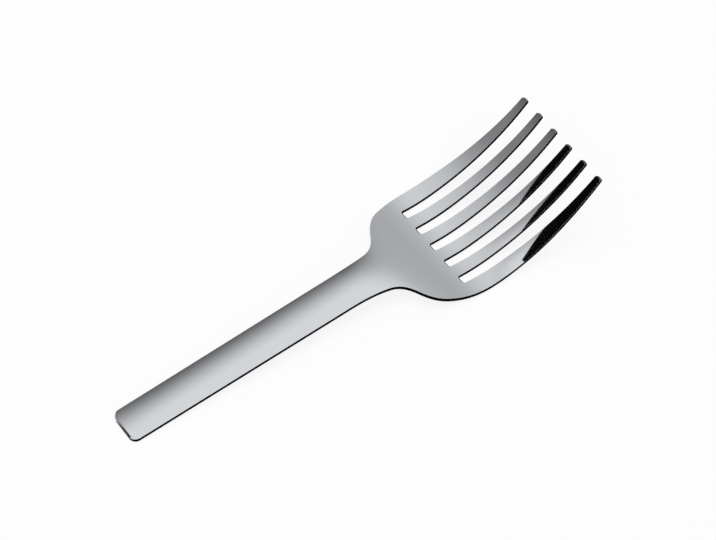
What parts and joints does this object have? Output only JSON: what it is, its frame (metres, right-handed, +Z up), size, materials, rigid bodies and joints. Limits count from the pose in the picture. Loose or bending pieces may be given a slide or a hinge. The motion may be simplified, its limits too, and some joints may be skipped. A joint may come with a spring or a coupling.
{
  "type": "meat serving fork",
  "caption": "Broad one-piece steel serving fork for meat: a slim crowned handle flares into a wide palm with long, tapering, upturned tines.",
  "frame": {"origin": "on the table under the middle of the fork's length, the fork lying at rest on its butt and belly", "axes": "+X along the fork from the butt to the tips, +Y to the fork's left, +Z up"},
  "size_m": [0.2618, 0.0708, 0.0331],
  "materials": {
    "steel": "polished"
  },
  "bodies": {
    "root": {"handle": "steel", "neck": "steel", "palm": "steel", "tine_1": "steel", "tine_2": "steel", "tine_3": "steel", "tine_4": "steel", "tine_5": "steel", "tine_6": "steel"}
  },
  "joints": []
}
